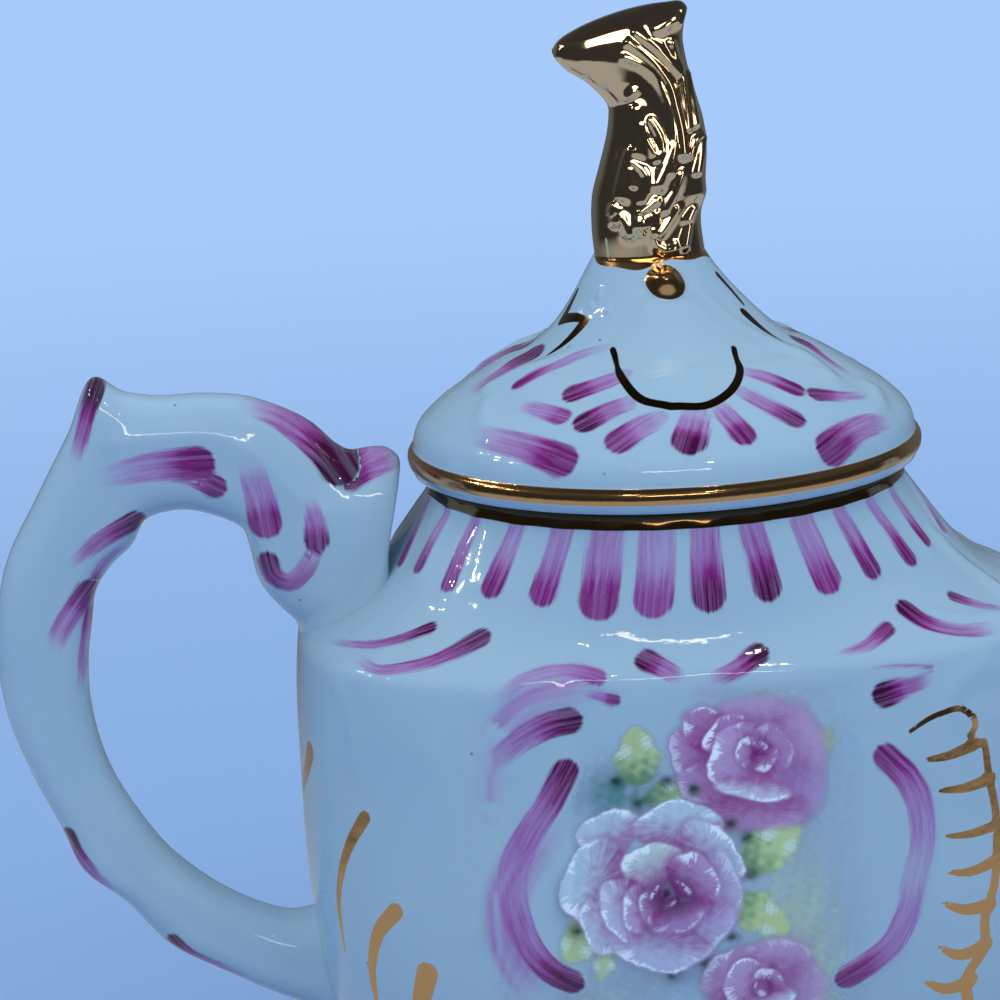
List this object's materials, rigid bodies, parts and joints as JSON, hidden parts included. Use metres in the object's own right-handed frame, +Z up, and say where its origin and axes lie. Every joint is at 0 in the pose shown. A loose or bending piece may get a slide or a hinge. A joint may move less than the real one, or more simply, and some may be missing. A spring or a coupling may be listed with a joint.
{
  "type": "miniature teapot",
  "caption": "Small glazed porcelain teapot with an oblong body, round neck, scroll handle and spout, and a domed lid with a gilded finial that lifts off and turns on its seat.",
  "frame": {"origin": "on the pot's axis, on the surface that the foot ring stands on", "axes": "+Z up along the pot's axis, +X towards the spout, -X towards the handle, -Y towards the decorated front"},
  "size_m": [0.0917, 0.04, 0.0803],
  "materials": {
    "porcelain": "clear gloss glaze over porcelain, with purple enamel strokes, gilt lines and a printed rose spray",
    "gilding": "bright burnished gold fired over the glaze"
  },
  "bodies": {
    "pot": {"pot_body": "porcelain", "foot_ring": "porcelain", "spout": "porcelain", "handle": "porcelain"},
    "lid_ring": {"lid_flange": "porcelain"},
    "lid": {"lid_cover": "porcelain", "finial": "gilding"}
  },
  "joints": [
    {"name": "lid_lift", "type": "slide", "parent": "pot", "child": "lid_ring", "axis": [0, 0, 1], "range_m": [0, 0.03]},
    {"name": "lid_turn", "type": "hinge", "parent": "lid_ring", "child": "lid", "pos_m": [0, 0, 0.0493], "axis": [0, 0, 1], "continuous": true}
  ]
}
